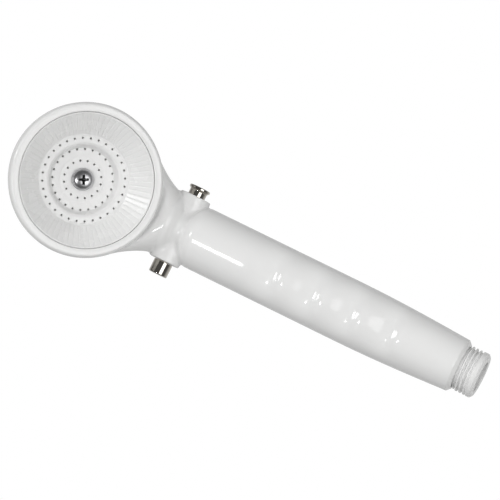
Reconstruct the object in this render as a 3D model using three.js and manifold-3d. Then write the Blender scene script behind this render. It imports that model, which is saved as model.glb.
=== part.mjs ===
// Handheld shower head with a push-through pause valve in its neck.
//
// Millimetres, +Z up the handle towards the head. The origin is on the handle's axis, at the
// tapered seat that a wall holder grips. The spray face looks towards -Y and a little down, and
// the valve spindle lies along X with its flared button at +X.

import * as THREE from 'three';
import { mergeVertices } from 'three/addons/utils/BufferGeometryUtils.js';
import Module from 'manifold-3d';

const wasm = await Module();
wasm.setup();

// ---------------------------------------------------------------- driving dimensions

const SEAT_HEIGHT = 25; // hose end up to the wall holder's seat

const GRIP_RADIUS = 14.15;
const GRIP_END_RADIUS = 12.05; // at the hose end, under the taper
const GRIP_WALL = 2.5;
const GRIP_END_HEIGHT = 9.75; // hose end up to the shoulder
const TAPER_LENGTH = 56;
const VALVE_HEIGHT = 148.4; // hose end up to the valve spindle
const DOME_DROP = 9.9; // spindle down to where the grip begins to dome
const DOME_RISE = 8.8;
const SHOULDER_CHAMFER = 1.6;

const GROOVE_COUNT = 4;
const GROOVE_PITCH = 19.1;
const GROOVE_DEPTH = 2.1;
const GROOVE_FIRST = 37.5; // hose end up to the lower edge of the lowest finger groove
const GROOVE_STEEP = 6.1; // a groove's lower edge up to its deepest line
const GROOVE_HALF_ANGLE = 1.15; // radians round the grip

const THREAD_RADIUS = 10.4775; // G 1/2, 20.955 mm across the crests
const THREAD_PITCH = 1.814;
const THREAD_DEPTH = 1.16;
const THREAD_LEAD = 2.4; // plain band between the end face and the first turn
const THREAD_RELIEF = 0.9; // plain neck under the shoulder
const NIPPLE_BORE = 7;
const NIPPLE_SPIGOT = 22; // length of the nipple inside the grip
const END_CHAMFER = 1;

const TUBE_RADIUS = 5.2;
const TUBE_WALL = 1.2;
const TUBE_SOCKET_DEPTH = 16;

const SPIGOT_RADIUS = 9.5; // the head shell's plug, inside the grip
const SPIGOT_LENGTH = 26; // below the spindle

const BOSS_RADIUS = 7.05;
const BOSS_LENGTH = 31.8; // face to face
const BOSS_LIP = 0.6;

const SLEEVE_RADIUS = 5.6;
const SLEEVE_BORE = 4.25;
const BUSH_LENGTH = 3;
const BUSH_BORE = 3.25;

const SPINDLE_RADIUS = 3.95;
const SPINDLE_WAIST = 2.3;
const SPINDLE_TAIL = 3.0;
const SPINDLE_STUD = 2.0;
const FLARE_RADIUS = 4.8;
const FLARE_REACH = 4.4; // flared button beyond the boss
const FLARE_LENGTH = 2.2;
const BUTTON_RADIUS = 4.3;
const BUTTON_LENGTH = 6.1;
const PORT_RADIUS = 1.6;
const PORT_OFFSET = 3.5;
const LAND_PLACE = 8.2; // middle of the shut-off land, from the spindle's centre
const TRAVEL = 2.6; // how far the spindle slides

const NECK_RADIUS = 14.2;
const NECK_RISE = 5.1; // spindle up to the widest part of the neck
const NECK_UNDER = 7; // height of the neck's rounded underside
const NECK_OVER = 14; // height of the neck's rounded top, inside the head

const FACE_TILT = 20; // degrees that the spray face looks down
const HEAD_RADIUS = 34.05;
const HEAD_FORWARD = 27.2; // face centre in front of the handle's axis
const HEAD_RISE = 41.9; // spindle up to the face centre
const RIM_FRONT = 3; // rim's front edge beyond the widest circle
const RIM_INNER = 30;
const RIM_ROUND = 1.6; // width of the rounding at the rim's front edge
const SHELL_BACK_RADIUS = 33.9;
const SHELL_BACK = 3; // where the funnel joins the rim, behind the widest circle
const CHAMBER_RADIUS = 24.2;
const CHAMBER_DEPTH = 16.4;
const POST_RADIUS = 4.8;

const FACE_EDGE_FRONT = 2.4;
const FACE_THICKNESS = 2.1;
const SHELF_RADIUS = 19.8;
const SHELF_DEPTH = 6.6;
const STEP_RADIUS = 14.5;
const PLATEAU_DEPTH = 10;
const SKIRT_RADIUS = 23.4;
const SKIRT_WALL = 2;
const SKIRT_DEPTH = 14;
const JET_RINGS = [
  { count: 32, radius: 18.3 },
  { count: 24, radius: 13.4 },
  { count: 16, radius: 8.3 },
];
const JET_RADIUS = 0.45;

const SCREW_RADIUS = 2.0;
const SCREW_HEAD_RADIUS = 5.0;
const SCREW_HEAD_HEIGHT = 3.0;
const SCREW_LENGTH = 9;
const INSERT_RADIUS = 3.2;

const FIT = 0.3; // clearance between pieces that are glued, seated or pressed together
const SLIDE = 0.15; // clearance of a seal in its bore and in its groove

// ---------------------------------------------------------------- derived places

const END_Z = -SEAT_HEIGHT;
const SHOULDER_Z = END_Z + GRIP_END_HEIGHT;
const TAPER_TOP_Z = SHOULDER_Z + TAPER_LENGTH;
const SPINDLE_Z = END_Z + VALVE_HEIGHT;
const DOME_Z = SPINDLE_Z - DOME_DROP;
const NECK_Z = SPINDLE_Z + NECK_RISE;
const SPIGOT_BOTTOM_Z = SPINDLE_Z - SPIGOT_LENGTH;
const BOSS_FACE = BOSS_LENGTH / 2;
const TUBE_TOP_Z = SPIGOT_BOTTOM_Z + TUBE_SOCKET_DEPTH;
const NIPPLE_TOP_Z = SHOULDER_Z + NIPPLE_SPIGOT;
const TUBE_BOTTOM_Z = NIPPLE_TOP_Z - TUBE_SOCKET_DEPTH / 2;

const GRIP_BORE = GRIP_END_RADIUS - GRIP_WALL;
const GRIP_CAVITY = GRIP_RADIUS - GRIP_WALL;

const HEAD_CENTRE = new THREE.Vector3(0, -HEAD_FORWARD, SPINDLE_Z + HEAD_RISE);
const FACE_TURN = THREE.MathUtils.degToRad(90 + FACE_TILT);
const FACE_MATRIX = new THREE.Matrix4()
  .makeRotationX(FACE_TURN)
  .setPosition(HEAD_CENTRE);
const ALONG_X = new THREE.Matrix4().makeRotationY(Math.PI / 2);

const ROUND = 24; // sides of a small round piece
const FINE = 36; // sides of the grip, neck, rim and face
const SEAL_SIDES = 6; // sides of a rubber ring's section

// ---------------------------------------------------------------- making and joining solids

// Welds a geometry's shared corners and drops the slivers that a pole leaves behind.
function weld(geometry) {
  const bare = geometry.index ? geometry.toNonIndexed() : geometry.clone();
  bare.deleteAttribute('normal');
  bare.deleteAttribute('uv');
  const merged = mergeVertices(bare, 1e-4);
  const kept = [];
  const corners = merged.index.array;
  for (let i = 0; i < corners.length; i += 3) {
    const [a, b, c] = [corners[i], corners[i + 1], corners[i + 2]];
    if (a !== b && b !== c && c !== a) kept.push(a, b, c);
  }
  merged.setIndex(kept);
  return merged;
}

function signedVolume(geometry) {
  const place = geometry.getAttribute('position');
  const index = geometry.index.array;
  const [a, b, c] = [new THREE.Vector3(), new THREE.Vector3(), new THREE.Vector3()];
  let sum = 0;
  for (let i = 0; i < index.length; i += 3) {
    a.fromBufferAttribute(place, index[i]);
    b.fromBufferAttribute(place, index[i + 1]);
    c.fromBufferAttribute(place, index[i + 2]);
    sum += a.dot(b.cross(c)) / 6;
  }
  return sum;
}

// A geometry as a manifold solid, turned the right way out.
function solid(geometry, matrix) {
  const welded = weld(geometry);
  if (matrix) welded.applyMatrix4(matrix);
  const corners = Array.from(welded.index.array);
  if (signedVolume(welded) < 0) corners.reverse();
  return new wasm.Manifold(new wasm.Mesh({
    numProp: 3,
    vertProperties: new Float32Array(welded.getAttribute('position').array),
    triVerts: new Uint32Array(corners),
  }));
}

function shape(body) {
  const mesh = body.getMesh();
  const geometry = new THREE.BufferGeometry();
  geometry.setAttribute('position', new THREE.Float32BufferAttribute(mesh.vertProperties, 3));
  geometry.setIndex(Array.from(mesh.triVerts));
  geometry.computeVertexNormals();
  return geometry;
}

// A profile of [radius, height] points turned about Z.
function turned(profile, sides = ROUND, matrix) {
  const points = profile.map(([r, z]) => new THREE.Vector2(r, z));
  const lathe = new THREE.LatheGeometry(points, sides);
  lathe.rotateX(Math.PI / 2);
  return solid(lathe, matrix);
}

// A plain round bar about Z, from one height to another.
function bar(radius, low, high, sides = ROUND, matrix) {
  return turned([[0, low], [radius, low], [radius, high], [0, high]], sides, matrix);
}

// A ring of rectangular section about Z.
function ring(inner, outer, low, high, sides = ROUND, matrix) {
  return turned([[inner, low], [outer, low], [outer, high], [inner, high], [inner, low]],
    sides, matrix);
}

// A rubber ring of round section about Z, which fills a groove between two radii.
function seal(inner, outer, place, sides = ROUND) {
  const section = (outer - inner) / 2;
  const profile = [];
  for (let i = 0; i <= SEAL_SIDES; i += 1) {
    const turn = (i / SEAL_SIDES) * Math.PI * 2;
    profile.push([inner + section + section * Math.cos(turn), place + section * Math.sin(turn)]);
  }
  return turned(profile, sides);
}

// A closed skin over a stack of rings, each a list of points, with a fan over each end.
function stacked(rings) {
  const sides = rings[0].length;
  const places = [];
  const corners = [];
  rings.forEach((points) => points.forEach((p) => places.push(p.x, p.y, p.z)));
  for (let k = 0; k < rings.length - 1; k += 1) {
    for (let i = 0; i < sides; i += 1) {
      const next = (i + 1) % sides;
      const [a, b] = [k * sides + i, k * sides + next];
      const [c, d] = [a + sides, b + sides];
      corners.push(a, b, d, a, d, c);
    }
  }
  [0, rings.length - 1].forEach((k, end) => {
    const middle = rings[k].reduce((sum, p) => sum.add(p), new THREE.Vector3());
    middle.divideScalar(sides);
    const hub = places.length / 3;
    places.push(middle.x, middle.y, middle.z);
    for (let i = 0; i < sides; i += 1) {
      const [a, b] = [k * sides + i, k * sides + (i + 1) % sides];
      if (end === 0) corners.push(hub, b, a);
      else corners.push(hub, a, b);
    }
  });
  const geometry = new THREE.BufferGeometry();
  geometry.setAttribute('position', new THREE.Float32BufferAttribute(places, 3));
  geometry.setIndex(corners);
  return solid(geometry);
}

// A body whose radius about Z is a function of the angle from the front (-Y) and the height.
function roundBody(radiusAt, heights, sides = FINE) {
  return stacked(heights.map((z) => {
    const points = [];
    for (let i = 0; i < sides; i += 1) {
      const angle = (i / sides) * Math.PI * 2;
      const r = radiusAt(angle, z);
      points.push(new THREE.Vector3(r * Math.sin(angle), -r * Math.cos(angle), z));
    }
    return points;
  }));
}

function steps(low, high, count) {
  return Array.from({ length: count + 1 }, (_, i) => low + ((high - low) * i) / count);
}

function joined(bodies) {
  return bodies.reduce((sum, body) => sum.add(body));
}

function cut(body, tools) {
  return tools.reduce((left, tool) => left.subtract(tool), body);
}

// ---------------------------------------------------------------- handle

// Radius of the plain handle: a taper, a straight barrel and a dome under the valve.
function handleRadius(z) {
  if (z < SHOULDER_Z + SHOULDER_CHAMFER) {
    return GRIP_END_RADIUS - (SHOULDER_Z + SHOULDER_CHAMFER - z);
  }
  if (z < TAPER_TOP_Z) {
    const along = (z - SHOULDER_Z) / TAPER_LENGTH;
    return GRIP_END_RADIUS + (GRIP_RADIUS - GRIP_END_RADIUS) * Math.sin((along * Math.PI) / 2);
  }
  if (z < DOME_Z) return GRIP_RADIUS;
  const up = Math.min((z - DOME_Z) / DOME_RISE, 0.98);
  return GRIP_RADIUS * Math.sqrt(1 - up * up);
}

// Depth of the finger grooves: scoops across the front, one after another, each with a short
// steep side towards the hose and a long easy side towards the head.
function grooveDepth(angle, z) {
  const fromFront = Math.min(angle, Math.PI * 2 - angle) / GROOVE_HALF_ANGLE;
  const place = (z - (END_Z + GROOVE_FIRST)) / GROOVE_PITCH;
  if (fromFront >= 1 || place < 0 || place > GROOVE_COUNT) return 0;
  const up = (place - Math.floor(place)) * GROOVE_PITCH;
  const easy = GROOVE_PITCH - GROOVE_STEEP;
  const along = up < GROOVE_STEEP ? up / GROOVE_STEEP : (GROOVE_PITCH - up) / easy;
  const across = Math.cos((fromFront * Math.PI) / 2) ** 2;
  return GROOVE_DEPTH * across * Math.sin((along * Math.PI) / 2) ** 2;
}

function makeGrip() {
  const grooveLow = END_Z + GROOVE_FIRST;
  const grooveHigh = grooveLow + GROOVE_PITCH * GROOVE_COUNT;
  const domeTop = DOME_Z + DOME_RISE * 0.97;
  const heights = [
    SHOULDER_Z,
    ...steps(SHOULDER_Z + SHOULDER_CHAMFER, grooveLow, 5),
    ...steps(grooveLow, grooveHigh, GROOVE_COUNT * 6).slice(1),
    ...steps(DOME_Z, domeTop, 7),
  ];
  const outside = roundBody((angle, z) => handleRadius(z) - grooveDepth(angle, z), heights);
  const step = SPIGOT_BOTTOM_Z - FIT;
  return cut(outside, [
    bar(GRIP_BORE, SHOULDER_Z - 1, NIPPLE_TOP_Z + FIT, FINE),
    turned([[0, NIPPLE_TOP_Z], [GRIP_BORE, NIPPLE_TOP_Z], [GRIP_BORE, NIPPLE_TOP_Z + 6],
      [GRIP_CAVITY - GROOVE_DEPTH, TAPER_TOP_Z], [GRIP_CAVITY - GROOVE_DEPTH, step - 2],
      [SPIGOT_RADIUS + FIT, step], [0, step]], FINE),
    bar(SPIGOT_RADIUS + FIT, step - 1, SPINDLE_Z, FINE),
    bar(BOSS_RADIUS + FIT, -BOSS_LENGTH, BOSS_LENGTH, ROUND,
      new THREE.Matrix4().makeTranslation(0, 0, SPINDLE_Z).multiply(ALONG_X)),
  ]);
}

// Depth of the hose thread below its crests: a flat-crested V that runs out at each end.
function threadDepth(angle, z) {
  const low = END_Z + THREAD_LEAD;
  const high = SHOULDER_Z - THREAD_RELIEF;
  if (z <= low) return 0;
  if (z >= high) return THREAD_DEPTH;
  const turn = (z - low) / THREAD_PITCH - angle / (Math.PI * 2);
  const wave = Math.abs((turn - Math.floor(turn)) * 2 - 1);
  const groove = THREE.MathUtils.clamp(1.25 - 1.5 * wave, 0, 1);
  const runIn = THREE.MathUtils.clamp((z - low) / THREAD_PITCH, 0, 1);
  return THREAD_DEPTH * groove * runIn;
}

function makeNipple() {
  const heights = [END_Z, END_Z + END_CHAMFER,
    ...steps(END_Z + THREAD_LEAD, SHOULDER_Z - THREAD_RELIEF, 22), SHOULDER_Z - FIT];
  const threaded = roundBody((angle, z) => {
    if (z === END_Z) return THREAD_RADIUS - END_CHAMFER;
    return THREAD_RADIUS - threadDepth(angle, z);
  }, heights, FINE);
  const spigot = bar(GRIP_BORE - FIT, SHOULDER_Z - FIT - 1, NIPPLE_TOP_Z, FINE);
  return cut(threaded.add(spigot), [
    bar(NIPPLE_BORE, END_Z - 1, SHOULDER_Z + 4, ROUND),
    bar(TUBE_RADIUS - TUBE_WALL, SHOULDER_Z, NIPPLE_TOP_Z + 1, ROUND),
    bar(TUBE_RADIUS + FIT, TUBE_BOTTOM_Z - FIT, NIPPLE_TOP_Z + 1, ROUND),
    ring(TUBE_RADIUS, TUBE_RADIUS + 1.7, TUBE_BOTTOM_Z + 2.6, TUBE_BOTTOM_Z + 5, ROUND),
  ]);
}

function makeInletScreen() {
  const low = END_Z + 5.2;
  const disc = bar(NIPPLE_BORE - FIT, low, low + 1.2, ROUND);
  const holes = [];
  for (let i = -2; i <= 2; i += 1) {
    for (let j = -2; j <= 2; j += 1) {
      const place = new THREE.Matrix4().makeTranslation(i * 2.1, j * 2.1, 0);
      if (Math.hypot(i, j) < 2.5) holes.push(bar(0.7, low - 1, low + 2, 6, place));
    }
  }
  return cut(disc, holes);
}

const RESTRICTOR_Z = END_Z + 6.8;

function makeRestrictor() {
  const low = RESTRICTOR_Z;
  const disc = bar(NIPPLE_BORE - FIT, low, low + 4.2, ROUND);
  return cut(disc, [
    bar(1.4, low - 1, low + 6, 20),
    bar(3.6, low - 1, low + 1.6, 24),
    ring(NIPPLE_BORE - 1.7, NIPPLE_BORE, low + 1.1, low + 3.1, ROUND),
  ]);
}

function makeRestrictorSeal() {
  return seal(NIPPLE_BORE - 1.7 + SLIDE, NIPPLE_BORE - SLIDE, RESTRICTOR_Z + 2.1);
}

function makeWaterTube() {
  const inner = TUBE_RADIUS - TUBE_WALL;
  return ring(inner, TUBE_RADIUS, TUBE_BOTTOM_Z, TUBE_TOP_Z - FIT, ROUND);
}

function makeTubeSealBottom() {
  return seal(TUBE_RADIUS + SLIDE, TUBE_RADIUS + 1.7 - SLIDE, TUBE_BOTTOM_Z + 3.8);
}

function makeTubeSealTop() {
  return seal(TUBE_RADIUS + SLIDE, TUBE_RADIUS + 1.7 - SLIDE, SPIGOT_BOTTOM_Z + 5.2);
}

// ---------------------------------------------------------------- head shell

// Half-ellipsoid shoulders of the neck, above the valve.
function neckProfile() {
  const profile = [[0, NECK_Z - NECK_UNDER]];
  for (let i = 1; i <= 8; i += 1) {
    const lean = (i / 8) * (Math.PI / 2);
    profile.push([NECK_RADIUS * Math.sin(lean), NECK_Z - NECK_UNDER * Math.cos(lean)]);
  }
  for (let i = 1; i < 8; i += 1) {
    const lean = (i / 8) * (Math.PI / 2);
    profile.push([NECK_RADIUS * Math.cos(lean), NECK_Z + NECK_OVER * Math.sin(lean)]);
  }
  profile.push([0, NECK_Z + NECK_OVER]);
  return profile;
}

// One line of the funnel behind the face, from the neck's circle to the rim's back circle. The
// lines at the front run nearly straight; those at the back leave the neck straight up, bow out
// and reach the rim square to the face.
function funnelPoint(angle, along, neckRadius, rimRadius, rimBack) {
  const low = new THREE.Vector3(neckRadius * Math.sin(angle), -neckRadius * Math.cos(angle), NECK_Z);
  const high = new THREE.Vector3(rimRadius * Math.sin(angle), -rimRadius * Math.cos(angle), -rimBack)
    .applyMatrix4(FACE_MATRIX);
  const bow = (1 - Math.cos(angle)) / 2;
  const back = new THREE.Vector3(0, 0, -1).transformDirection(FACE_MATRIX);
  const straight = high.clone().sub(low).multiplyScalar(1 - bow);
  const lift = low.clone().add(new THREE.Vector3(0, 0, 1.5 + 33 * bow ** 3))
    .addScaledVector(straight, 0.22);
  const lead = high.clone().add(new THREE.Vector3((1 - bow) * Math.sin(angle), 0, 0))
    .addScaledVector(back, 1 + 25 * bow ** 2)
    .addScaledVector(straight, -0.3);
  return new THREE.CubicBezierCurve3(low, lift, lead, high).getPoint(along);
}

function makeFunnel() {
  return stacked(steps(0, 1, 10).map((along) => {
    const points = [];
    for (let i = 0; i < FINE; i += 1) {
      const angle = (i / FINE) * Math.PI * 2;
      points.push(funnelPoint(angle, along, NECK_RADIUS - 0.2, SHELL_BACK_RADIUS, SHELL_BACK));
    }
    return points;
  }));
}

// The rim: widest at height 0, rounded over to its front edge.
function makeRim() {
  const profile = [[0, -SHELL_BACK - 3], [SHELL_BACK_RADIUS - 0.6, -SHELL_BACK - 3],
    [SHELL_BACK_RADIUS, -SHELL_BACK]];
  for (let i = 0; i <= 5; i += 1) {
    const lean = (i / 5) * (Math.PI / 2);
    profile.push([HEAD_RADIUS - RIM_ROUND + RIM_ROUND * Math.cos(lean),
      RIM_FRONT * Math.sin(lean)]);
  }
  profile.push([0, RIM_FRONT]);
  return turned(profile, FINE, FACE_MATRIX);
}

// Slope of the fluted cone, and the distance that its thickness takes along the face's axis.
const FLUTE_SLOPE = (FACE_EDGE_FRONT + SHELF_DEPTH) / (RIM_INNER - FIT - SHELF_RADIUS);
const FLUTE_SHIFT = FACE_THICKNESS * Math.hypot(1, FLUTE_SLOPE);

function coneBack(radius) {
  return -SHELF_DEPTH + (radius - SHELF_RADIUS) * FLUTE_SLOPE - FLUTE_SHIFT;
}

// The room in the head: the face's seat and, behind it, the water chamber round the screw post.
function makeHeadRoom() {
  const seat = FIT * Math.hypot(1, FLUTE_SLOPE);
  const postTop = -PLATEAU_DEPTH - FACE_THICKNESS - FIT;
  return turned([[0, RIM_FRONT + 2], [RIM_INNER, RIM_FRONT + 2],
    [RIM_INNER, coneBack(RIM_INNER) - seat],
    [CHAMBER_RADIUS, coneBack(CHAMBER_RADIUS) - seat], [CHAMBER_RADIUS, -CHAMBER_DEPTH],
    [POST_RADIUS, -CHAMBER_DEPTH], [POST_RADIUS, postTop], [0, postTop]],
  FINE, FACE_MATRIX);
}

function valvePlace() {
  return new THREE.Matrix4().makeTranslation(0, 0, SPINDLE_Z).multiply(ALONG_X);
}

function makeBoss() {
  const [r, h] = [BOSS_RADIUS, BOSS_FACE];
  return turned([[0, -h], [r - BOSS_LIP, -h], [r, -h + BOSS_LIP], [r, h - BOSS_LIP],
    [r - BOSS_LIP, h], [0, h]], ROUND, valvePlace());
}

// The slanting waterway from the valve up to the chamber.
function makeWaterway() {
  const foot = new THREE.Vector3(0, 0, SPINDLE_Z + SLEEVE_RADIUS);
  const head = new THREE.Vector3(0, -(CHAMBER_RADIUS - 3.5), -CHAMBER_DEPTH + 3.5)
    .applyMatrix4(FACE_MATRIX);
  const way = head.clone().sub(foot);
  const turn = new THREE.Quaternion().setFromUnitVectors(
    new THREE.Vector3(0, 0, 1), way.clone().normalize());
  const place = new THREE.Matrix4().compose(foot, turn, new THREE.Vector3(1, 1, 1));
  return bar(3.6, -1, way.length(), 24, place);
}

function makeHeadShell() {
  const outside = joined([
    bar(SPIGOT_RADIUS, SPIGOT_BOTTOM_Z, NECK_Z + 1, FINE),
    turned(neckProfile(), FINE),
    makeBoss(),
    makeFunnel(),
    makeRim(),
  ]);
  const screwFit = (low, high, radius) => bar(radius, low, high, 24, FACE_MATRIX);
  const postTop = -PLATEAU_DEPTH - FACE_THICKNESS - FIT;
  return cut(outside, [
    makeHeadRoom(),
    makeWaterway(),
    bar(SLEEVE_RADIUS + FIT, -BOSS_LENGTH, BOSS_LENGTH, ROUND, valvePlace()),
    bar(TUBE_RADIUS + FIT, SPIGOT_BOTTOM_Z - 1, TUBE_TOP_Z, ROUND),
    bar(TUBE_RADIUS - TUBE_WALL, SPIGOT_BOTTOM_Z, SPINDLE_Z, ROUND),
    ring(TUBE_RADIUS, TUBE_RADIUS + 1.7, SPIGOT_BOTTOM_Z + 4, SPIGOT_BOTTOM_Z + 6.4, ROUND),
    screwFit(postTop - SCREW_LENGTH, 0, INSERT_RADIUS + FIT),
    screwFit(postTop - 1.5, 0, INSERT_RADIUS + 0.9),
  ]);
}

// ---------------------------------------------------------------- spray face

function makeSprayFace() {
  const edge = RIM_INNER - FIT;
  const plateauBack = -PLATEAU_DEPTH - FACE_THICKNESS;
  const shelfBack = -SHELF_DEPTH - FACE_THICKNESS;
  const profile = [
    [SCREW_RADIUS + FIT, -PLATEAU_DEPTH], [STEP_RADIUS - 0.15, -PLATEAU_DEPTH],
    [STEP_RADIUS + 0.15, -SHELF_DEPTH], [SHELF_RADIUS, -SHELF_DEPTH],
    [edge - 0.4, FACE_EDGE_FRONT], [edge, FACE_EDGE_FRONT - 0.3], [edge, coneBack(edge)],
    [SKIRT_RADIUS, coneBack(SKIRT_RADIUS)], [SKIRT_RADIUS, -SKIRT_DEPTH + 3.1],
    [SKIRT_RADIUS - 1.1, -SKIRT_DEPTH + 3.1], [SKIRT_RADIUS - 1.1, -SKIRT_DEPTH + 1.1],
    [SKIRT_RADIUS, -SKIRT_DEPTH + 1.1], [SKIRT_RADIUS, -SKIRT_DEPTH],
    [SKIRT_RADIUS - SKIRT_WALL, -SKIRT_DEPTH], [SKIRT_RADIUS - SKIRT_WALL, shelfBack],
    [STEP_RADIUS + FACE_THICKNESS, shelfBack], [STEP_RADIUS + FACE_THICKNESS - 0.3, plateauBack],
    [SCREW_RADIUS + FIT, plateauBack], [SCREW_RADIUS + FIT, -PLATEAU_DEPTH],
  ];
  const jets = JET_RINGS.flatMap(({ count, radius }) => (
    Array.from({ length: count }, (_, i) => {
      const turn = ((i + 0.5) / count) * Math.PI * 2;
      const place = new THREE.Matrix4()
        .makeTranslation(radius * Math.sin(turn), -radius * Math.cos(turn), 0);
      return bar(JET_RADIUS, -SKIRT_DEPTH, 0, 6, place);
    })));
  return cut(turned(profile, FINE), jets);
}

function makeFaceSeal() {
  return seal(SKIRT_RADIUS - 1.1 + SLIDE, CHAMBER_RADIUS - SLIDE, -SKIRT_DEPTH + 2.1, FINE);
}

// A cross-recessed pan head on a plain shank, which the insert holds.
function makeFaceScrew() {
  const seat = -PLATEAU_DEPTH + FIT / 2;
  const profile = [[0, seat - FACE_THICKNESS - SCREW_LENGTH],
    [SCREW_RADIUS - 0.4, seat - FACE_THICKNESS - SCREW_LENGTH],
    [SCREW_RADIUS, seat - FACE_THICKNESS - SCREW_LENGTH + 0.6], [SCREW_RADIUS, seat],
    [SCREW_HEAD_RADIUS, seat]];
  for (let i = 0; i <= 6; i += 1) {
    const lean = (i / 6) * (Math.PI / 2);
    profile.push([SCREW_HEAD_RADIUS * Math.cos(lean) ** 0.7,
      seat + 0.8 + (SCREW_HEAD_HEIGHT - 0.8) * Math.sin(lean)]);
  }
  profile[profile.length - 1][0] = 0;
  const slot = (turn) => solid(new THREE.BoxGeometry(4.6, 1.1, 4), new THREE.Matrix4()
    .makeRotationZ(turn).setPosition(0, 0, seat + SCREW_HEAD_HEIGHT + 0.3));
  return cut(turned(profile), [slot(0), slot(Math.PI / 2)]);
}

function makeScrewInsert() {
  const high = -PLATEAU_DEPTH - FACE_THICKNESS - FIT - 1.5 - FIT;
  const low = high + 2 * FIT + 1.5 - SCREW_LENGTH;
  return ring(SCREW_RADIUS + FIT, INSERT_RADIUS, low, high);
}

function makeScrewSeal() {
  const high = -PLATEAU_DEPTH - FACE_THICKNESS - FIT;
  return ring(SCREW_RADIUS + FIT, INSERT_RADIUS + 0.6, high - 1.5 + SLIDE, high);
}

// ---------------------------------------------------------------- valve

function sleeveEnds() {
  return [-BOSS_FACE + BUSH_LENGTH + FIT, BOSS_FACE - FIT];
}

// The liner that the spindle's rings slide in, with a port below and a port above.
function makeSleeve() {
  const [low, high] = sleeveEnds();
  const liner = ring(SLEEVE_BORE, SLEEVE_RADIUS, low, high, ROUND);
  const port = (place, side) => bar(PORT_RADIUS, 0, side * 12, 16,
    new THREE.Matrix4().makeRotationY(-Math.PI / 2).setPosition(0, 0, place));
  return cut(liner, [
    port(PORT_OFFSET, -1),
    port(-PORT_OFFSET, 1),
    ring(SLEEVE_RADIUS - 0.75, SLEEVE_RADIUS + 1, high - 4.2, high - 2.4, ROUND),
    ring(SLEEVE_RADIUS - 0.75, SLEEVE_RADIUS + 1, low + 2.4, low + 4.2, ROUND),
  ]);
}

function makeSleeveSeal(place) {
  return seal(SLEEVE_RADIUS - 0.75 + SLIDE, SLEEVE_RADIUS + FIT - SLIDE / 3, place);
}

function makeBush() {
  return ring(BUSH_BORE, SLEEVE_RADIUS, -BOSS_FACE, -BOSS_FACE + BUSH_LENGTH, ROUND);
}

// The left land stops short of the bush when the spindle is pushed through.
const SPINDLE_SEALS = {
  right: 12.6,
  middle: LAND_PLACE,
  left: -BOSS_FACE + BUSH_LENGTH + TRAVEL + FIT + 2,
};
const SEAL_GROOVE = 1.1;

// The plated spindle: flared button, two lands that carry rings, a waist and a tail.
function makeSpindle() {
  const tip = BOSS_FACE + FLARE_REACH;
  const flare = tip - FLARE_LENGTH;
  const tail = -BOSS_FACE - FIT / 2;
  const land = LAND_PLACE - 2;
  const plug = SPINDLE_SEALS.left;
  const profile = [[0, tail - BUTTON_LENGTH + 1.6], [SPINDLE_STUD, tail - BUTTON_LENGTH + 1.6],
    [SPINDLE_STUD, tail], [SPINDLE_TAIL, tail], [SPINDLE_TAIL, plug - 2],
    [SPINDLE_RADIUS, plug - 2], [SPINDLE_RADIUS, plug + 2], [SPINDLE_WAIST, plug + 2.8],
    [SPINDLE_WAIST, land - 0.8], [SPINDLE_RADIUS, land], [SPINDLE_RADIUS, flare]];
  for (let i = 1; i <= 4; i += 1) {
    const along = i / 4;
    profile.push([SPINDLE_RADIUS + (FLARE_RADIUS - SPINDLE_RADIUS) * along ** 2,
      flare + (FLARE_LENGTH - 1) * along]);
  }
  profile.push([FLARE_RADIUS, tip - 0.6], [FLARE_RADIUS - 0.6, tip - 0.1], [0, tip]);
  const groove = (place) => ring(SPINDLE_RADIUS - 0.9, SPINDLE_RADIUS + 1,
    place - SEAL_GROOVE, place + SEAL_GROOVE);
  return cut(turned(profile), Object.values(SPINDLE_SEALS).map(groove));
}

function makeSpindleSeal(place) {
  return seal(SPINDLE_RADIUS - 0.9 + SLIDE / 2, SLEEVE_BORE - SLIDE, place);
}

// The plain button, screwed on the spindle's tail.
function makeButton() {
  const base = -BOSS_FACE - FIT;
  const end = base - BUTTON_LENGTH;
  return turned([[SPINDLE_STUD + FIT / 2, base], [BUTTON_RADIUS, base], [BUTTON_RADIUS, end + 0.5],
    [BUTTON_RADIUS - 0.5, end], [0, end], [0, base - BUTTON_LENGTH + 1.3],
    [SPINDLE_STUD + FIT / 2, base - BUTTON_LENGTH + 1.3], [SPINDLE_STUD + FIT / 2, base]]);
}

// ---------------------------------------------------------------- finishes and assembly

const finish = (color, roughness, metalness = 0) => (
  () => new THREE.MeshStandardMaterial({ color, roughness, metalness }));

const WHITE = finish(0xf2f2f0, 0.28);
const FACE_WHITE = finish(0xececea, 0.35);
const NICKEL = finish(0xb9b4aa, 0.2, 1);
const STEEL = finish(0xc4c6c8, 0.25, 1);
const BRASS = finish(0xb59a5a, 0.35, 1);
const RUBBER = finish(0x1c1c1d, 0.7);
const ACETAL = finish(0xdad9d2, 0.45);

function piece(name, body, material) {
  const mesh = new THREE.Mesh(shape(body), material());
  mesh.name = name;
  return mesh;
}

const shower = new THREE.Group();

shower.add(
  piece('head_shell', makeHeadShell(), WHITE),
  piece('handle_grip', makeGrip(), WHITE),
  piece('hose_nipple', makeNipple(), WHITE),
  piece('inlet_screen', makeInletScreen(), STEEL),
  piece('flow_restrictor', makeRestrictor(), ACETAL),
  piece('restrictor_seal', makeRestrictorSeal(), RUBBER),
  piece('water_tube', makeWaterTube(), ACETAL),
  piece('tube_seal_bottom', makeTubeSealBottom(), RUBBER),
  piece('tube_seal_top', makeTubeSealTop(), RUBBER),
);

const face = new THREE.Group();
face.applyMatrix4(FACE_MATRIX);
face.add(
  piece('spray_face', makeSprayFace(), FACE_WHITE),
  piece('face_seal', makeFaceSeal(), RUBBER),
  piece('face_screw', makeFaceScrew(), STEEL),
  piece('screw_seal', makeScrewSeal(), RUBBER),
  piece('screw_insert', makeScrewInsert(), BRASS),
);
shower.add(face);

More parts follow.
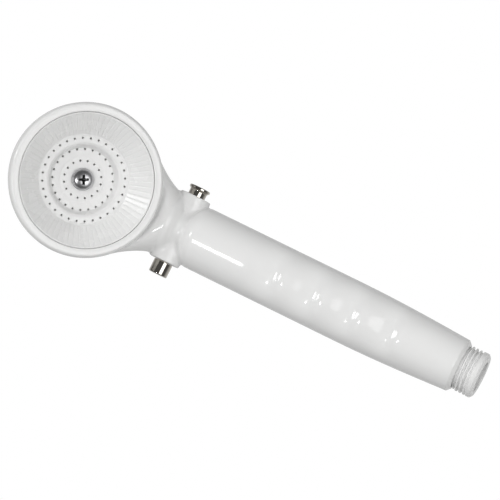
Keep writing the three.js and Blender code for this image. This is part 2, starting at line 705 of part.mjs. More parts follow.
const valve = new THREE.Group();
valve.applyMatrix4(valvePlace());
const [sleeveLow, sleeveHigh] = sleeveEnds();
valve.add(
  piece('valve_sleeve', makeSleeve(), ACETAL),
  piece('sleeve_seal_left', makeSleeveSeal(sleeveLow + 3.3), RUBBER),
  piece('sleeve_seal_right', makeSleeveSeal(sleeveHigh - 3.3), RUBBER),
  piece('spindle_bush', makeBush(), ACETAL),
  piece('valve_spindle', makeSpindle(), NICKEL),
  piece('plain_button', makeButton(), NICKEL),
  piece('spindle_seal_right', makeSpindleSeal(SPINDLE_SEALS.right), RUBBER),
  piece('spindle_seal_middle', makeSpindleSeal(SPINDLE_SEALS.middle), RUBBER),
  piece('spindle_seal_left', makeSpindleSeal(SPINDLE_SEALS.left), RUBBER),
);
shower.add(valve);

export default shower;
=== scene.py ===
"""Handheld shower head: white plastic, a fluted spray face and a push-through pause valve."""

import math

import bpy
import numpy as np
from mathutils import Matrix, Vector


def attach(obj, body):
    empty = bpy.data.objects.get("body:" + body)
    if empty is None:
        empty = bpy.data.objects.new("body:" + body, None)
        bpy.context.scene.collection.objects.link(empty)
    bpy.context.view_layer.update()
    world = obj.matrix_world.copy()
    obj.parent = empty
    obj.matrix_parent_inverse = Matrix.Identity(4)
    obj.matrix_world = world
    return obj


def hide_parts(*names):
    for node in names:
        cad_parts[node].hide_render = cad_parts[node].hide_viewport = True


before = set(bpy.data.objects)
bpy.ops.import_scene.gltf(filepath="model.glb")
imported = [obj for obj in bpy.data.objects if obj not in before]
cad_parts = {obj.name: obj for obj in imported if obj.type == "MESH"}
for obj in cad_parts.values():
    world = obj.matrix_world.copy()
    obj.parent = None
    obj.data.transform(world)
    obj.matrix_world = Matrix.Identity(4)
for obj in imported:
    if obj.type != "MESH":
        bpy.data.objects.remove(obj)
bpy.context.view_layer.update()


# ---------------------------------------------------------------- camera, floor and light
# A long lens looks up at the spray face from in front and a little below, with the handle
# lying down to the right. A small hard lamp, a lamp overhead and a card below make the
# highlights; the room is pale in front and dimmer behind.

LENS = 400
DISTANCE = 2.436
LOOK_UP = math.radians(10)
ROUND_LEFT = math.radians(-2.6)
ROLL_COS, ROLL_SIN = 0.440, 0.898
TARGET = Vector((0.0053, 0, 0.0913))
FLOOR, FLOOR_HALF = -0.6, 4

scene = bpy.context.scene
scene.view_settings.view_transform = "Standard"
round_left = Matrix.Rotation(ROUND_LEFT, 3, "Z")
back = round_left @ Vector((0, -math.cos(LOOK_UP), -math.sin(LOOK_UP)))
headward = round_left @ Vector((0, -math.sin(LOOK_UP), math.cos(LOOK_UP)))
sideways = round_left @ Vector((1, 0, 0))
right = sideways * ROLL_COS - headward * ROLL_SIN
up = sideways * ROLL_SIN + headward * ROLL_COS
camera = bpy.data.objects.new("camera", bpy.data.cameras.new("camera"))
scene.collection.objects.link(camera)
camera.data.lens = LENS
camera.data.sensor_width = 36
camera.data.clip_start = 0.05
camera.data.clip_end = 20
turned_camera = Matrix((right, up, back)).transposed().to_4x4()
turned_camera.translation = TARGET + back * DISTANCE
camera.matrix_world = turned_camera
scene.camera = camera


def map_range(nodes, start, end, low, high):
    """A node that carries start..end over to low..high."""
    node = nodes.new("ShaderNodeMapRange")
    for label, value in (("From Min", start), ("From Max", end), ("To Min", low), ("To Max", high)):
        node.inputs[label].default_value = value
    return node


def lamp(name, toward, distance, size, power, aim=(0, 0, 0.12), glossy=True):
    """A rectangular lamp, distance metres from aim in the direction toward, facing aim."""
    light = bpy.data.lights.new(name, "AREA")
    light.shape = "RECTANGLE"
    light.size, light.size_y = size
    light.energy = power
    holder = bpy.data.objects.new(name, light)
    scene.collection.objects.link(holder)
    direction = Vector(toward).normalized()
    holder.location = Vector(aim) + direction * distance
    holder.rotation_mode = "QUATERNION"
    holder.rotation_quaternion = direction.to_track_quat("Z", "Y")
    holder.visible_glossy = glossy
    return holder


lamp("small_lamp", (-0.337, -0.925, 0.178), 0.9, (0.11, 0.030), 1.3,
     aim=(-0.0025, -0.014, 0.101))
lamp("overhead_lamp", (-0.02, -0.58, 0.81), 0.9, (0.24, 0.16), 1.5, aim=(0, -0.03, 0.16))
lamp("low_card", (0.05, -0.79, -0.62), 0.8, (0.5, 0.5), 1.9)
lamp("broad_panel", (0.25, -1.0, 0.4), 1.3, (1.0, 1.0), 2.3, glossy=False)
lamp("low_fill", (0.05, -0.5, -0.85), 1.2, (0.9, 0.7), 7.5, glossy=False)

world = bpy.data.worlds.new("room")
scene.world = world
world.use_nodes = True
tree = world.node_tree
tree.nodes.clear()
room_out = tree.nodes.new("ShaderNodeOutputWorld")
seen, lit, mirrored = (tree.nodes.new("ShaderNodeBackground") for _ in range(3))
seen.inputs["Color"].default_value = (1, 1, 1, 1)
seen.inputs["Strength"].default_value = 1.0
ray = tree.nodes.new("ShaderNodeLightPath")
coords = tree.nodes.new("ShaderNodeTexCoord")
split = tree.nodes.new("ShaderNodeSeparateXYZ")
ramp = map_range(tree.nodes, 0.8, -0.9, 0.22, 0.66)
behind = map_range(tree.nodes, 0.0, 0.9, 0.1, 0.85)
tree.links.new(split.outputs["Y"], behind.inputs["Value"])
tree.links.new(behind.outputs["Result"], mirrored.inputs["Strength"])
tree.links.new(coords.outputs["Generated"], split.inputs[0])
tree.links.new(split.outputs["Y"], ramp.inputs["Value"])
tree.links.new(ramp.outputs["Result"], lit.inputs["Strength"])
by_gloss = tree.nodes.new("ShaderNodeMixShader")
by_sight = tree.nodes.new("ShaderNodeMixShader")
tree.links.new(ray.outputs["Is Glossy Ray"], by_gloss.inputs["Fac"])
tree.links.new(lit.outputs[0], by_gloss.inputs[1])
tree.links.new(mirrored.outputs[0], by_gloss.inputs[2])
tree.links.new(ray.outputs["Is Camera Ray"], by_sight.inputs["Fac"])
tree.links.new(by_gloss.outputs[0], by_sight.inputs[1])
tree.links.new(seen.outputs[0], by_sight.inputs[2])
tree.links.new(by_sight.outputs[0], room_out.inputs["Surface"])


def finish(name, colours, roughness, metallic=0.0, scale=90.0, stretch=(1, 1, 1), bump=0.02,
           coat=0.0, gloss=0.5, flow=0.0, painted_shade_mask=None, painted_shade=(0.1, 0.1, 0.1)):
    """A surface whose colour, roughness and tiny relief wander with two noises in its own space.

    colours and roughness are the two ends that the broad noise moves between; bump is the
    height in millimetres of the fine one. Where a named point attribute rises, the colour goes
    to a painted shade colour that stands for the shade inside holes and recesses."""
    material = bpy.data.materials.new(name)
    material.use_nodes = True
    nodes, links = material.node_tree.nodes, material.node_tree.links
    shader = nodes["Principled BSDF"]
    place = nodes.new("ShaderNodeTexCoord")
    mapping = nodes.new("ShaderNodeMapping")
    mapping.inputs["Scale"].default_value = stretch
    links.new(place.outputs["Object"], mapping.inputs["Vector"])
    broad, fine = nodes.new("ShaderNodeTexNoise"), nodes.new("ShaderNodeTexNoise")
    broad.inputs["Scale"].default_value = scale
    broad.inputs["Detail"].default_value = 4
    fine.inputs["Scale"].default_value = scale * 14
    fine.inputs["Detail"].default_value = 3
    links.new(mapping.outputs[0], broad.inputs["Vector"])
    links.new(mapping.outputs[0], fine.inputs["Vector"])
    tint = nodes.new("ShaderNodeMix")
    tint.data_type = "RGBA"
    tint.inputs[6].default_value = (*colours[0], 1)
    tint.inputs[7].default_value = (*colours[1], 1)
    links.new(broad.outputs["Fac"], tint.inputs["Factor"])
    colour = tint.outputs[2]
    # Painted shade: the named point attribute darkens the colour where holes and recesses lie.
    if painted_shade_mask:
        where = nodes.new("ShaderNodeAttribute")
        where.attribute_name = painted_shade_mask
        shade = nodes.new("ShaderNodeMix")
        shade.data_type = "RGBA"
        shade.inputs[7].default_value = (*painted_shade, 1)
        links.new(where.outputs["Fac"], shade.inputs["Factor"])
        links.new(colour, shade.inputs[6])
        colour = shade.outputs[2]
    links.new(colour, shader.inputs["Base Color"])
    rough = map_range(nodes, 0.3, 0.7, *roughness)
    links.new(broad.outputs["Fac"], rough.inputs["Value"])
    links.new(rough.outputs["Result"], shader.inputs["Roughness"])
    relief = nodes.new("ShaderNodeBump")
    relief.inputs["Strength"].default_value = 0.5
    relief.inputs["Distance"].default_value = bump * 0.001
    links.new(fine.outputs["Fac"], relief.inputs["Height"])
    links.new(relief.outputs[0], shader.inputs["Normal"])
    shader.inputs["Metallic"].default_value = metallic
    shader.inputs["Coat Weight"].default_value = coat
    shader.inputs["Specular IOR Level"].default_value = gloss
    return material


def closed(grid, loop=False):
    """Points and faces of a grid of rows that each close round. With loop the last row joins
    the first; without it each end is shut by a fan round its middle."""
    rows, columns = grid.shape[:2]
    i = np.arange(rows if loop else rows - 1)[:, None]
    j = np.arange(columns)[None, :]
    after, beside = (i + 1) % rows, (j + 1) % columns
    quads = np.stack([i * columns + j, i * columns + beside,
                      after * columns + beside, after * columns + j], -1).reshape(-1, 4)
    points = grid.reshape(-1, 3)
    fans = np.zeros((0, 3), int)
    if not loop:
        j, beside = j[0], beside[0]
        last, hub = (rows - 1) * columns, len(points)
        fans = np.concatenate([
            np.stack([np.full(columns, hub), beside, j], -1),
            np.stack([np.full(columns, hub + 1), last + j, last + beside], -1)])
        points = np.concatenate([points, grid[:1].mean(1), grid[-1:].mean(1)])
    halves = np.concatenate([quads[:, :3], quads[:, [0, 2, 3]], fans])
    a, b, c = (points[halves[:, k]] for k in range(3))
    if np.einsum("ij,ij->i", a, np.cross(b, c)).sum() < 0:
        quads, fans = quads[:, ::-1], fans[:, ::-1]
    return points, quads, fans


def skin(name, shells, material, body, node=None, crease=40, marks=None):
    """One object from closed shells in millimetres, which rides on body and stands for node."""
    points, faces, start = [], [], 0
    for shell_points, quads, fans in shells:
        points.append(shell_points)
        faces += (quads + start).tolist() + (fans + start).tolist()
        start += len(shell_points)
    mesh = bpy.data.meshes.new(name)
    mesh.from_pydata((np.concatenate(points) * 0.001).tolist(), [], faces)
    mesh.shade_smooth()
    mesh.set_sharp_from_angle(angle=math.radians(crease))
    for label, values in (marks or {}).items():
        mesh.attributes.new(label, "FLOAT", "POINT").data.foreach_set("value", values)
    mesh.materials.append(material)
    made = bpy.data.objects.new(name, mesh)
    scene.collection.objects.link(made)
    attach(made, body)
    if node:
        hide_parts(node)
    return made


def upright(radii, heights, columns=192):
    """Rows about the handle's axis: radii and heights give each row, and radii may also be a
    rows by columns table, so that the outline changes round the axis."""
    angle = np.arange(columns) / columns * 2 * np.pi
    radii = np.asarray(radii, float)
    radii = radii[:, None] if radii.ndim == 1 else radii
    heights = np.broadcast_to(np.asarray(heights, float).reshape(len(radii), -1),
                              (len(radii), columns))
    return np.stack([radii * np.sin(angle), -radii * np.cos(angle), heights], -1)


def facing(grid):
    """Unit outward normals of an upright grid, from the slopes of its rows and columns."""
    across = np.roll(grid, -1, 1) - np.roll(grid, 1, 1)
    along = np.gradient(grid, axis=0)
    normal = np.cross(across, along)
    normal /= np.linalg.norm(normal, axis=-1, keepdims=True) + 1e-12
    outward = (normal[..., :2] * grid[..., :2]).sum() > 0
    return normal if outward else -normal


corners = [(x * FLOOR_HALF, y * FLOOR_HALF, FLOOR) for x, y in ((-1, -1), (1, -1), (1, 1), (-1, 1))]
floor_mesh = bpy.data.meshes.new("floor")
floor_mesh.from_pydata(corners, [], [[0, 1, 2, 3]])
floor_mesh.materials.append(finish("pale_floor", [(0.80, 0.80, 0.79), (0.84, 0.84, 0.83)],
                                   (0.6, 0.7), scale=4, bump=0.2))
floor = bpy.data.objects.new("floor", floor_mesh)
scene.collection.objects.link(floor)
floor.visible_glossy = False


# ---------------------------------------------------------------- hose nipple
# The threaded end that the hose nut screws on: white plastic, moulded with the thread, and
# glued up into the handle as far as its shoulder.

END = -25.0
SHOULDER = -15.25
THREAD_RADIUS, THREAD_PITCH, THREAD_DEPTH = 10.4775, 1.814, 1.16
THREAD_LEAD, THREAD_RELIEF = 2.4, 0.9

white_gloss = finish("white_gloss", [(0.80, 0.80, 0.795), (0.83, 0.83, 0.825)], (0.12, 0.16),
                     scale=60, bump=0.004)
white_thread = finish("white_thread", [(0.79, 0.79, 0.785), (0.83, 0.83, 0.825)], (0.12, 0.2),
                      scale=90, bump=0.008)


def thread_radius(angle, height):
    """Crest radius less a helical groove: a V with rounded root and flat crest that deepens
    over its first turn, ends in a plain neck, and has a chamfered end below it."""
    low, high = END + THREAD_LEAD, SHOULDER - THREAD_RELIEF
    turn = (height - low) / THREAD_PITCH - angle / (2 * np.pi)
    wave = np.abs((turn % 1) * 2 - 1)
    groove = np.clip(1.25 - 1.5 * wave, 0, 1)
    groove = groove * groove * (3 - 2 * groove)
    start = np.clip((height - low) / THREAD_PITCH, 0, 1)
    depth = THREAD_DEPTH * groove * start * (height > low)
    neck = np.clip((height - high) / 0.25, 0, 1)
    depth = depth * (1 - neck) + THREAD_DEPTH * neck
    chamfer = np.clip(END + 1.0 - height, 0, 1)
    return THREAD_RADIUS - depth - chamfer


angle = np.arange(192) / 192 * 2 * np.pi
heights = np.concatenate([[END, END + 0.5, END + 0.97, END + 1.03],
                          np.linspace(END + 1.6, SHOULDER - 0.3, 96)])
outside = thread_radius(angle[None, :], heights[:, None])
radii = np.concatenate([
    np.repeat([[4.2], [4.2], [7.0], [7.0], [7.0], [7.25]], 192, 1), outside,
    np.repeat([[9.25], [9.25], [9.1], [5.6], [5.6], [4.2]], 192, 1)])
heights = np.concatenate([[-1.4, -11.2, -11.25, -14, END + 0.3, END], heights,
                          [SHOULDER - 0.3, 6.6, 6.75, 6.75, -1.6, -1.6]])
nipple = closed(upright(radii, heights), loop=True)
skin("nipple_thread", [nipple], white_thread, "handset", "hose_nipple", 30)


# ---------------------------------------------------------------- handle
# The hollow grip: glossy white plastic, tapered to the hose end, with four finger grooves
# moulded across its front and a dome on top that hugs the valve boss.

GRIP_RADIUS, GRIP_END_RADIUS = 14.15, 12.05
TAPER_LENGTH = 56
DOME, DOME_RISE = 113.5, 8.8
GROOVE_LOW, GROOVE_PITCH, GROOVE_COUNT = 12.5, 19.1, 4
GROOVE_STEEP, GROOVE_DEPTH, GROOVE_HALF_ANGLE = 6.1, 2.1, 1.15
SPINDLE = 123.4
BOSS_RADIUS = 7.05
PLUG_RADIUS = 9.6
NECK, NECK_RADIUS, NECK_UNDER = 128.5, 14.2, 7.0
FILLET = 1.7


def grip_radius(height):
    """A quarter sine wave up the taper, then straight, with a small chamfer at the shoulder."""
    rise = np.clip((height - SHOULDER) / TAPER_LENGTH, 0, 1)
    radius = GRIP_END_RADIUS + (GRIP_RADIUS - GRIP_END_RADIUS) * np.sin(rise * np.pi / 2)
    return radius - np.clip(SHOULDER + 1.6 - height, 0, 1.6)


def groove_depth(angle, height):
    """Squared cosine across the front times a squared sine along each groove, whose deepest
    line lies nearer its lower edge, so the lower side is steep and the upper side easy."""
    place = (height - GROOVE_LOW) / GROOVE_PITCH
    within = (place > 0) & (place < GROOVE_COUNT)
    rise = (place % 1) * GROOVE_PITCH
    easy = GROOVE_PITCH - GROOVE_STEEP
    along = np.where(rise < GROOVE_STEEP, rise / GROOVE_STEEP, (GROOVE_PITCH - rise) / easy)
    front = np.abs((angle + np.pi) % (2 * np.pi) - np.pi) / GROOVE_HALF_ANGLE
    across = np.cos(np.clip(front, 0, 1) * np.pi / 2) ** 2
    return GROOVE_DEPTH * across * np.sin(along * np.pi / 2) ** 2 * within


def to_boss(p):
    """Distance from the valve boss's cylinder along X."""
    return np.hypot(p[..., 1], p[..., 2] - SPINDLE) - BOSS_RADIUS


def to_plug(p):
    """Distance from the upright plug inside the grip."""
    return np.hypot(p[..., 0], p[..., 1]) - PLUG_RADIUS


def to_oval(p, radius, rise, middle):
    """Distance, near its skin, from an oval of revolution about the handle's axis."""
    r, h = np.hypot(p[..., 0], p[..., 1]), p[..., 2] - middle
    level = np.hypot(r / radius, h / rise)
    return (level - 1) * level / np.hypot(r / radius**2, h / rise**2)


def to_neck(p):
    """Distance from the neck: half an oval below its widest circle, a cylinder above it."""
    return np.where(p[..., 2] < NECK, to_oval(p, NECK_RADIUS, NECK_UNDER, NECK),
                    np.hypot(p[..., 0], p[..., 1]) - NECK_RADIUS)


def to_dome(p):
    """Distance from the top of the grip."""
    return np.where(p[..., 2] > DOME, to_oval(p, GRIP_RADIUS, DOME_RISE, DOME),
                    np.hypot(p[..., 0], p[..., 1]) - GRIP_RADIUS)


def filleted(grid, normals, neighbours):
    """Moves a skin out along its normals to make a fillet with its neighbours: the square roots
    of its height and of its distance from them add up to the root of the fillet's size. Inside
    a neighbour the skin sinks out of sight."""
    moved = grid.copy()
    height = np.zeros(grid.shape[:2])
    least = 0.1 * FILLET
    for _ in range(8):
        gaps = np.sort(np.stack([to(moved) for to in neighbours]), 0)
        gap = gaps[0]
        if len(neighbours) > 1:
            blend = np.clip(1 - (gaps[1] - gaps[0]) / FILLET, 0, 1)
            gap = gap - blend**2 * FILLET / 4
        lift = (math.sqrt(FILLET) - np.sqrt(np.clip(gap, least, FILLET))) ** 2
        sink = np.clip((least - gap) * 2, 0, 1.2)
        height = 0.5 * height + 0.5 * (lift - sink)
        moved = grid + normals * height[..., None]
    return moved


columns = 384
angle = np.arange(columns) / columns * 2 * np.pi
heights = np.concatenate([[SHOULDER, SHOULDER + 0.05, SHOULDER + 0.8, SHOULDER + 1.55],
                          np.linspace(SHOULDER + 1.7, GROOVE_LOW, 16),
                          np.linspace(GROOVE_LOW, 88.9, 97)[1:],
                          np.linspace(88.9, 112.5, 14)[1:]])
outside = grip_radius(heights)[:, None] - groove_depth(angle[None, :], heights[:, None])
lean = np.linspace(0, math.acos(9.85 / GRIP_RADIUS), 46)
dome = upright(GRIP_RADIUS * np.cos(lean), DOME + DOME_RISE * np.sin(lean), columns)
body = upright(outside, heights, columns)
outer = np.concatenate([body, dome])
outer = filleted(outer, facing(outer), [to_boss, to_plug])
outer[: len(body)] = body
inner = upright([9.75, 9.75, 9.3, 9.3, 9.55, 9.55], [119.5, 97.2, 92, 42, 12, SHOULDER], columns)
grip = closed(np.concatenate([outer, inner]), loop=True)
skin("grip_skin", [grip], white_gloss, "handset", "handle_grip", 50)


# ---------------------------------------------------------------- head shell
# One white moulding: the plug inside the grip, the valve boss, the neck, the funnel behind the
# spray face and the rim round it.

FACE_TILT = math.radians(20)
FACE_CENTRE = np.array([0, -27.2, 165.3])
FACE_OUT = np.array([0, -math.cos(FACE_TILT), -math.sin(FACE_TILT)])
FACE_UP = np.array([0, -math.sin(FACE_TILT), math.cos(FACE_TILT)])
RIM_RADIUS, RIM_BACK_RADIUS, RIM_ROUND = 34.05, 33.9, 1.6
RIM_BACK, RIM_FRONT, RIM_INNER = 3.0, 3.0, 30.0
BOSS_FACE, BOSS_ROUND = 15.9, 0.6


def on_face(radii, rises, columns):
    """Rows about the spray face's axis; angle 0 is the side towards the handle."""
    flat = upright(radii, rises, columns)
    return (FACE_CENTRE + flat[..., :1] * np.array([1.0, 0, 0]) + flat[..., 1:2] * FACE_UP
            + flat[..., 2:] * FACE_OUT)


def funnel(angle, along):
    """Cubic curves from the neck's widest circle to the back of the rim: nearly straight in
    front, while those at the back leave the neck straight up, bow out and reach the rim square
    to the face."""
    low = np.stack([NECK_RADIUS * np.sin(angle), -NECK_RADIUS * np.cos(angle),
                    np.full_like(angle, NECK)], -1)
    high = on_face([RIM_BACK_RADIUS], [-RIM_BACK], len(angle))[0]
    bow = ((1 - np.cos(angle)) / 2)[:, None]
    straight = (high - low) * (1 - bow)
    aside = np.stack([np.sin(angle), 0 * angle, 0 * angle], -1) * (1 - bow)
    lift = low + np.array([0, 0, 1.0]) * (1.5 + 33 * bow**3) + straight * 0.22
    lead = high + aside - FACE_OUT * (1 + 25 * bow**2) - straight * 0.3
    t = along[:, None, None]
    return (low * (1 - t) ** 3 + lift * 3 * t * (1 - t) ** 2 + lead * 3 * t**2 * (1 - t)
            + high * t**3)


columns = 384
angle = np.arange(columns) / columns * 2 * np.pi
lean = np.linspace(math.asin(11.2 / NECK_RADIUS), math.pi / 2, 34)
under_r, under_z = NECK_RADIUS * np.sin(lean), NECK - NECK_UNDER * np.cos(lean)
root = np.linspace(0, 1, 14)[1:-1]
root_r = PLUG_RADIUS * (1 - root) ** 2 + 2 * 9.62 * root * (1 - root) + under_r[0] * root**2
root_z = 121.6 * (1 - root) ** 2 + 2 * 123.35 * root * (1 - root) + under_z[0] * root**2
plug_z = np.linspace(117.5, 121.6, 16)
lower = upright(np.concatenate([np.full(16, PLUG_RADIUS), root_r, under_r]),
                np.concatenate([plug_z, root_z, under_z]), columns)
cone = funnel(angle, np.linspace(0, 1, 90)[1:])
turn = np.linspace(0, np.pi / 2, 14)
bezel = on_face(
    np.concatenate([[RIM_RADIUS - 0.08, RIM_RADIUS - 0.02],
                    RIM_RADIUS - RIM_ROUND + RIM_ROUND * np.cos(turn), [31.8, 30.4, 30.1, 29.96]]),
    np.concatenate([[-2, -1], RIM_FRONT * np.sin(turn), [RIM_FRONT, 2.98, 2.85, 2.6]]), columns)
trunk = np.concatenate([lower, cone])
trunk = filleted(trunk, facing(trunk), [to_boss, to_dome])
inside = on_face([RIM_INNER, RIM_INNER, 24.2, 24.2, 4.8, 4.8, 3.5, 3.5],
                 [2.3, -0.6, -5.8, -16.4, -16.4, -12.4, -12.4, -21], columns)
plug = upright([5.5, 5.5, 9.5, 9.5], [113.4, 97.4, 97.4, 117.2], columns)
trunk = closed(np.concatenate([plug, trunk, bezel, inside]))

boss_columns = 256
boss_end = BOSS_FACE - BOSS_ROUND
place = np.concatenate([np.linspace(-boss_end, -11, 30), np.linspace(-10.9, 10.9, 90),
                        np.linspace(11, boss_end, 30)])
edge = np.linspace(0, np.pi / 2, 7)[1:]


def about_x(radii, places, columns):
    """Rows about the valve's axis, which lies along X."""
    flat = upright(radii, places, columns)
    return np.stack([flat[..., 2], flat[..., 0], flat[..., 1] + SPINDLE], -1)


barrel = about_x(np.full(len(place), BOSS_RADIUS), place, boss_columns)
outward = (barrel - barrel * [1, 0, 0] - [0, 0, SPINDLE]) / BOSS_RADIUS
barrel = filleted(barrel, outward, [to_neck, to_dome, to_plug])
lip_r = np.concatenate([BOSS_RADIUS - BOSS_ROUND + BOSS_ROUND * np.cos(edge), [6.1, 5.9]])
lip_x = np.concatenate([boss_end + BOSS_ROUND * np.sin(edge), [BOSS_FACE, BOSS_FACE - 0.2]])
right_end = about_x(lip_r, lip_x, boss_columns)
left_end = about_x(lip_r[::-1], -lip_x[::-1], boss_columns)
boss = closed(np.concatenate([left_end, barrel, right_end]), loop=True)
skin("head_skin", [trunk, boss], white_gloss, "handset", "head_shell", 50)


# ---------------------------------------------------------------- spray face
# A thin dished disc of satin white plastic: flat flutes round a steep cone, a shelf with the
# outer ring of jets and a lower plateau with two more, held by one screw. The jet holes are
# painted grey as the shade inside them.

FLUTES = 72
SHELF_RADIUS, SHELF, STEP_RADIUS, PLATEAU = 19.8, -6.6, 14.5, -10.0
FACE_EDGE, FACE_FRONT = 29.7, 2.4
JET_RINGS = ((32, 18.3), (24, 13.4), (16, 8.3))
JET_RADIUS, JET_DEPTH = 0.4, 1.7

# The grey that the jet holes get is painted shade, standing in for the shade inside them.
white_satin = finish("white_satin", [(0.78, 0.78, 0.775), (0.82, 0.82, 0.815)], (0.22, 0.3),
                     scale=110, bump=0.01, painted_shade_mask="jet", painted_shade=(0.46, 0.46, 0.45))


def smooth(low, high, value):
    """0 below low, 1 above high, with an eased rise between."""
    t = np.clip((value - low) / (high - low), 0, 1)
    return t * t * (3 - 2 * t)


def face_height(angle, radius):
    """The dish: plateau, step, shelf, then flat facets up the cone with a fine line between
    each two of them."""
    sector = (angle * FLUTES / (2 * np.pi)) % 1 - 0.5
    chord = radius * np.cos(sector * 2 * np.pi / FLUTES)
    slope = (FACE_FRONT - SHELF) / (FACE_EDGE - 0.4 - SHELF_RADIUS)
    cone = SHELF + (chord - SHELF_RADIUS) * slope
    fluted = smooth(20.3, 20.9, radius) * (1 - smooth(28.6, 29.2, radius))
    line = smooth(0.36, 0.5, np.abs(sector)) * 0.2 * fluted
    height = PLATEAU + (SHELF - PLATEAU) * smooth(STEP_RADIUS - 0.8, STEP_RADIUS + 1.5, radius)
    height = height + 0.12 * np.exp(-(((radius - 19.6) / 0.35) ** 2))
    height = height + 0.10 * np.exp(-(((radius - 9.9) / 0.5) ** 2))
    soft = 0.5 * (cone + height + np.sqrt((cone - height) ** 2 + 0.05))
    return np.where(radius < 17.5, height, soft) - line


columns = 864
angle = np.arange(columns) / columns * 2 * np.pi
jet_rows = [np.linspace(r - 0.62, r + 0.62, 13) for _, r in JET_RINGS]
radii = np.unique(np.round(np.concatenate(
    [[2.3, 3, 4.5, 6, 7, 9.4, 9.9, 10.4, 12], *jet_rows, np.linspace(14.1, 15.5, 8), [16.3, 17.2],
     np.linspace(19.1, 21.1, 13), np.linspace(22, 28.4, 7), np.linspace(28.6, 29.3, 6)]), 3))
heights = face_height(angle[None, :], radii[:, None])
jet = np.zeros_like(heights)
for count, ring_radius in JET_RINGS:
    off = ((angle * count / (2 * np.pi)) % 1 - 0.5) * 2 * np.pi / count
    away = np.hypot(radii[:, None] * np.cos(off) - ring_radius, radii[:, None] * np.sin(off))
    jet = np.maximum(jet, 1 - smooth(JET_RADIUS - 0.06, JET_RADIUS + 0.08, away))
heights = heights - JET_DEPTH * jet
front = on_face(radii, heights, columns)
rear = on_face([29.6, 29.84, 29.84, 23.4, 23.4, 21.4, 21.4, 16.6, 16.3, 2.3],
               [2.35, 2.15, -0.4, -5.6, -14, -14, -8.7, -8.7, -12.1, -12.1], columns)
disc = closed(np.concatenate([front, rear]), loop=True)
# The jet mask is stored on the points so that shade is painted into the holes.
marks = np.concatenate([jet.ravel(), np.zeros(len(rear) * columns)]).astype(np.float32)
skin("face_disc", [disc], white_satin, "handset", "spray_face", 60, {"jet": marks})


# ---------------------------------------------------------------- face screw
# A stainless pan-head screw with a cross recess, its shank down through the face. The recess
# is painted near black as the shade inside it.

HEAD_SEAT, HEAD_RADIUS, HEAD_HEIGHT = -9.85, 5.0, 3.0
CROSS_REACH, CROSS_HALF_WIDTH, CROSS_DEPTH, CROSS_TURN = 2.3, 0.55, 1.9, 0.456

# The near black that the cross recess gets is painted shade.
steel = finish("turned_steel", [(0.52, 0.52, 0.53), (0.64, 0.64, 0.65)], (0.28, 0.38),
               metallic=1.0, scale=160, bump=0.006, painted_shade_mask="recess", painted_shade=(0.06, 0.06, 0.06))

columns = 240
angle = np.arange(columns) / columns * 2 * np.pi
radii = np.concatenate([np.linspace(0.04, 3.2, 46), np.linspace(3.3, 4.99, 26)])
crown = HEAD_SEAT + 0.7 + (HEAD_HEIGHT - 0.7) * np.sqrt(1 - (radii / HEAD_RADIUS) ** 2.6)
x = np.abs(radii[:, None] * np.sin(angle - CROSS_TURN))
y = np.abs(radii[:, None] * np.cos(angle - CROSS_TURN))
arm = np.minimum(np.maximum(x / CROSS_REACH, y / CROSS_HALF_WIDTH),
                 np.maximum(y / CROSS_REACH, x / CROSS_HALF_WIDTH))
hub = np.hypot(x, y)
recess = 1 - smooth(0.82, 1.05, np.minimum(arm, hub))
heights = crown[:, None] - CROSS_DEPTH * recess * (1 - 0.25 * hub)
crown = on_face(radii, heights, columns)
shank = on_face([5.0, 4.95, 2.0, 2.0, 1.6], [-9.4, HEAD_SEAT, HEAD_SEAT, -20.2, -20.8], columns)
# The recess mask is stored on the points so that shade is painted into the cross.
marks = np.concatenate([recess.ravel(), np.zeros(len(shank) * columns + 2)]).astype(np.float32)
skin("screw_cross", [closed(np.concatenate([crown, shank]))], steel, "handset", "face_screw",
     45, {"recess": marks})


# ---------------------------------------------------------------- valve spindle and button
# Bright nickel-plated brass, turned on a lathe: a flared button at one end and a plain one
# screwed on the other, which slide together through the boss.

LAND_RADIUS, WAIST_RADIUS, SEAT_RADIUS, SEAT_WIDTH = 3.95, 2.3, 3.05, 2.2

nickel = finish("bright_nickel", [(0.62, 0.58, 0.52), (0.70, 0.67, 0.61)], (0.05, 0.1),
                metallic=1.0, scale=120, stretch=(6, 1, 1), bump=0.003)


def ring_seat(low):
    """The four corners of a square groove for a rubber ring, cut into a land from low on."""
    high = low + SEAT_WIDTH
    return [(LAND_RADIUS, low), (SEAT_RADIUS, low), (SEAT_RADIUS, high), (LAND_RADIUS, high)]


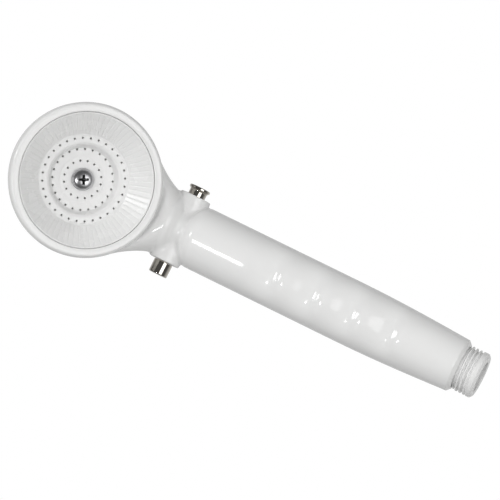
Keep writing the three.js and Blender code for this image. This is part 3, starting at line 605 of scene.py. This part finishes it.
flare = np.linspace(0, 1, 14)
profile = np.array([
    (0.05, -20.45), (1.7, -20.45), (2.0, -20.2), (2.0, -16.05), (3.0, -16.05), (3.0, -10.0),
    (LAND_RADIUS, -10.0), *ring_seat(-9.1), (LAND_RADIUS, -6.0),
    (WAIST_RADIUS, -5.2), (WAIST_RADIUS, 5.4), (LAND_RADIUS, 6.2),
    *ring_seat(7.1), *ring_seat(11.5), (LAND_RADIUS, 15.9)])
flared = np.stack([LAND_RADIUS + 0.85 * flare**2, 18.1 + 1.1 * flare], -1)
rim = np.linspace(0, np.pi / 2, 8)
rolled = np.stack([4.3 + 0.5 * np.cos(rim), 19.75 + 0.5 * np.sin(rim)], -1)
crown = np.array([(3.6, 20.22), (3.2, 20.05), (1.5, 20.0), (0.05, 20.0)])
profile = np.concatenate([profile, flared, rolled, crown])
spindle = closed(about_x(profile[:, 0], profile[:, 1], 128))
skin("spindle_turned", [spindle], nickel, "spindle", "valve_spindle", 30)

edge = np.linspace(0, np.pi / 2, 7)
end_r, end_x = 3.75 + 0.5 * np.cos(edge), -21.75 - 0.5 * np.sin(edge)
button = closed(about_x(
    np.concatenate([[2.15, 4.1, 4.3], end_r, [0.05], [0.05, 2.15]]),
    np.concatenate([[-16.2, -16.2, -16.4], end_x, [-22.25], [-20.85, -20.8]]), 128), loop=True)
skin("button_plain", [button], nickel, "spindle", "plain_button", 30)


# ---------------------------------------------------------------- pieces inside
# Screen, restrictor, water tube, valve sleeve and bush, the brass insert and the rubber rings,
# as they sit inside the shell.

acetal = finish("acetal", [(0.74, 0.73, 0.70), (0.79, 0.78, 0.75)], (0.3, 0.42),
                scale=140, bump=0.01)
brass = finish("brass", [(0.62, 0.46, 0.22), (0.70, 0.54, 0.28)], (0.25, 0.38), metallic=1.0,
               scale=200, bump=0.01)
rubber = finish("seal_rubber", [(0.012, 0.012, 0.013), (0.022, 0.022, 0.023)], (0.55, 0.75),
                scale=260, bump=0.02, gloss=0.3)
INSIDE = {
    "inlet_screen": steel, "flow_restrictor": acetal, "water_tube": acetal,
    "valve_sleeve": acetal, "spindle_bush": acetal, "screw_insert": brass,
    "restrictor_seal": rubber, "tube_seal_bottom": rubber, "tube_seal_top": rubber,
    "face_seal": rubber, "screw_seal": rubber, "sleeve_seal_left": rubber,
    "sleeve_seal_right": rubber, "spindle_seal_right": rubber, "spindle_seal_middle": rubber,
    "spindle_seal_left": rubber,
}
for name, material in INSIDE.items():
    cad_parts[name].data.materials.clear()
    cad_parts[name].data.materials.append(material)
